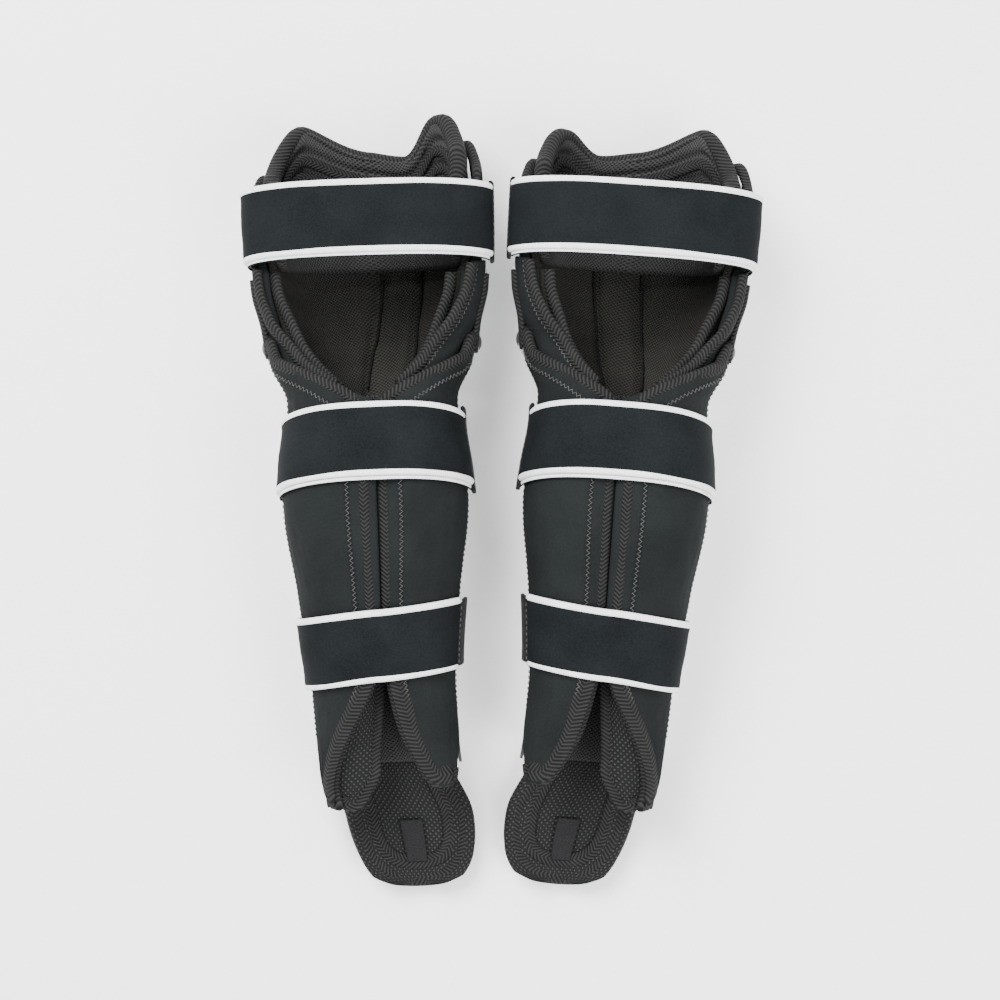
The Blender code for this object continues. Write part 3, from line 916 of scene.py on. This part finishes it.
def straps(guard):
    """Elastic bands with white edges, their doubled under layers and hook tabs."""

    def outside(a, b):
        return 0.35 * np.sin(np.pi * b) + 0.3 * ripple(a, b, 5.0, 4.4)

    for name, strap in STRAPS.items():
        face = strap_face(strap, strap["seam"], ANCHOR_END, STRAP_WIDTH, STRAP_OUT)
        band = pad(guard, f"{name}_band", "elastic_weave", face, STRAP_WALL, (110, 18), 1.0,
                   outside=outside)
        across_hinge(band, guard, name)
        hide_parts(f"{guard.name}_{name}_strap", f"{guard.name}_{name}_anchor")
        for edge, b in (("upper", 0.962), ("lower", 0.038)):
            strap_edge(guard, name, edge, face, b, STRAP_WALL / 2, oval(2.3, STRAP_WALL / 2 + 0.5))
        if strap["under"]:
            low = strap_face(strap, strap["seam"] + 1, ANCHOR_END - 1, STRAP_WIDTH - 8,
                             STRAP_OUT - 2.0, -strap["under"] - 4)
            layer = pad(guard, f"{name}_under_band", "elastic_weave", low, 1.0, (90, 14), 0.5)
            across_hinge(layer, guard, name)
            strap_edge(guard, name, "under", low, 0.05, 0.3, oval(1.3, 0.8))
        hook = strap_face(strap, HOOK_END, strap["seam"] + 3, strap["tab"], STRAP_OUT + 0.35)
        tab = pad(guard, f"{name}_hook_cover", "hook_fabric", hook, 2.7, (24, 22), 0.9)
        settle(tab, guard, f"{name}_strap")
        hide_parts(f"{guard.name}_{name}_hook_tab")
        seam = stitches(guard, f"{name}_hook_stitches", hook, [(0.93, 0.06), (0.93, 0.94)], -0.1)
        settle(seam, guard, f"{name}_strap")


# ---------------------------------------------------------------- hard pieces and stage

def hard_pieces():
    """Finishes for the CAD nodes that stay: shells, plates, foam, wings, pivots and rivets."""
    looks = {"shin_shell": "shell_plastic", "knee_cap": "shell_plastic", "thigh_cap": "shell_plastic",
             "thigh_plate": "shell_plastic", "shin_foam": "foam_skin"}
    for name, node in frame["nodes"].items():
        kind = name.split("_", 1)[1]
        look = looks.get(kind)
        if kind.endswith("rivet"):
            look = "rivet_metal"
        elif kind.startswith(("wing", "knee_pivot")):
            look = "wing_plastic"
        if look:
            node.data.materials.clear()
            node.data.materials.append(LOOKS[look])


def camera():
    """The photo's view: straight down on the leg side."""
    lens = bpy.data.cameras.new("camera")
    lens.sensor_width = SENSOR_WIDTH
    lens.lens = SENSOR_WIDTH * CAMERA_DISTANCE / VIEW_WIDTH
    made = bpy.data.objects.new("camera", lens)
    made.location = (*PICTURE_CENTRE, VIEW_HEIGHT + CAMERA_DISTANCE)
    bpy.context.scene.collection.objects.link(made)
    bpy.context.scene.camera = made


def light(name, place, size, power):
    """A square lamp of a size in metres and a power in watts, aimed at the guards."""
    lamp = bpy.data.lights.new(name, "AREA")
    lamp.size = size
    lamp.energy = power
    made = bpy.data.objects.new(name, lamp)
    made.location = place
    made.rotation_euler = (Vector(LAMP_AIM) - Vector(place)).to_track_quat("-Z", "Y").to_euler()
    bpy.context.scene.collection.objects.link(made)


def stage():
    """A pale floor, a pale world and soft lights from above."""
    bm = bmesh.new()
    bmesh.ops.create_grid(bm, x_segments=1, y_segments=1, size=4)
    mesh = bpy.data.meshes.new("floor")
    bm.to_mesh(mesh)
    bm.free()
    floor = bpy.data.objects.new("floor", mesh)
    floor.location = (0, 0, -0.0005)
    paper = Graph("floor_paper", 0.9)
    paper.shader.inputs["Base Color"].default_value = (0.94, 0.94, 0.94, 1)
    mesh.materials.append(paper.material)
    bpy.context.scene.collection.objects.link(floor)
    world = bpy.data.worlds.new("studio")
    world.use_nodes = True
    world.node_tree.nodes["Background"].inputs["Color"].default_value = (1, 1, 1, 1)
    world.node_tree.nodes["Background"].inputs["Strength"].default_value = 1.6
    bpy.context.scene.world = world
    light("key", (-0.9, 1.2, 1.9), 1.3, 143)
    light("fill", (1.2, -0.9, 1.8), 1.5, 71)


def main():
    """Builds both guards and the studio round them."""
    hard_pieces()
    for guard in GUARDS:
        shin_lining(guard)
        knee_cup(guard)
        knee_foam(guard)
        knee_sides(guard)
        thigh_inner_pad(guard)
        thigh_outer_pad(guard)
        calf_wraps(guard)
        tongue(guard)
        straps(guard)
    camera()
    stage()


main()
